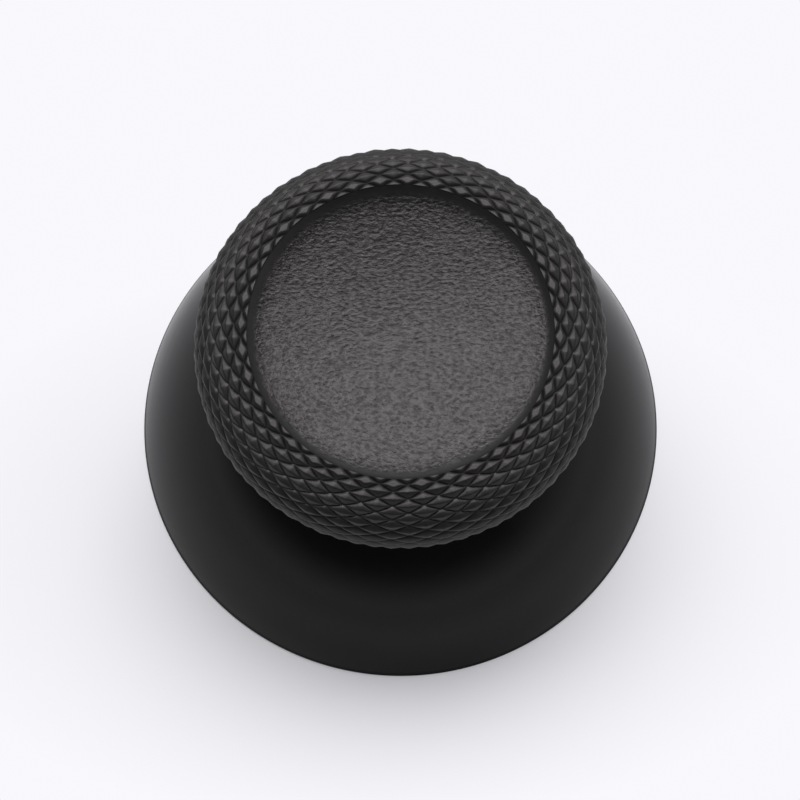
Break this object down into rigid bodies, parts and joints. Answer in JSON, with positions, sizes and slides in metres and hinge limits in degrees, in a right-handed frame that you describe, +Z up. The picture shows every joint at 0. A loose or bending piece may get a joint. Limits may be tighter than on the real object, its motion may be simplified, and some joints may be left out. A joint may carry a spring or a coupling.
{
  "type": "thumbstick cap",
  "caption": "Domed thumbstick cap with a knurled round rim and a grained dished pad, pressed onto a joystick shaft by the socket under its crown.",
  "frame": {"origin": "centre of the skirt's bottom edge, on the stick's axis", "axes": "+Z up along the stick's axis, from the socket towards the thumb pad; the socket's flats face +Y and -Y"},
  "size_m": [0.0248, 0.0248, 0.0155],
  "materials": {
    "dome_body": "satin black, hard moulded plastic",
    "grip_cap": "matte charcoal, diamond knurl on the rim and fine grain on the pad"
  },
  "bodies": {
    "root": {"dome_body": "dome_body", "grip_cap": "grip_cap"}
  },
  "joints": []
}
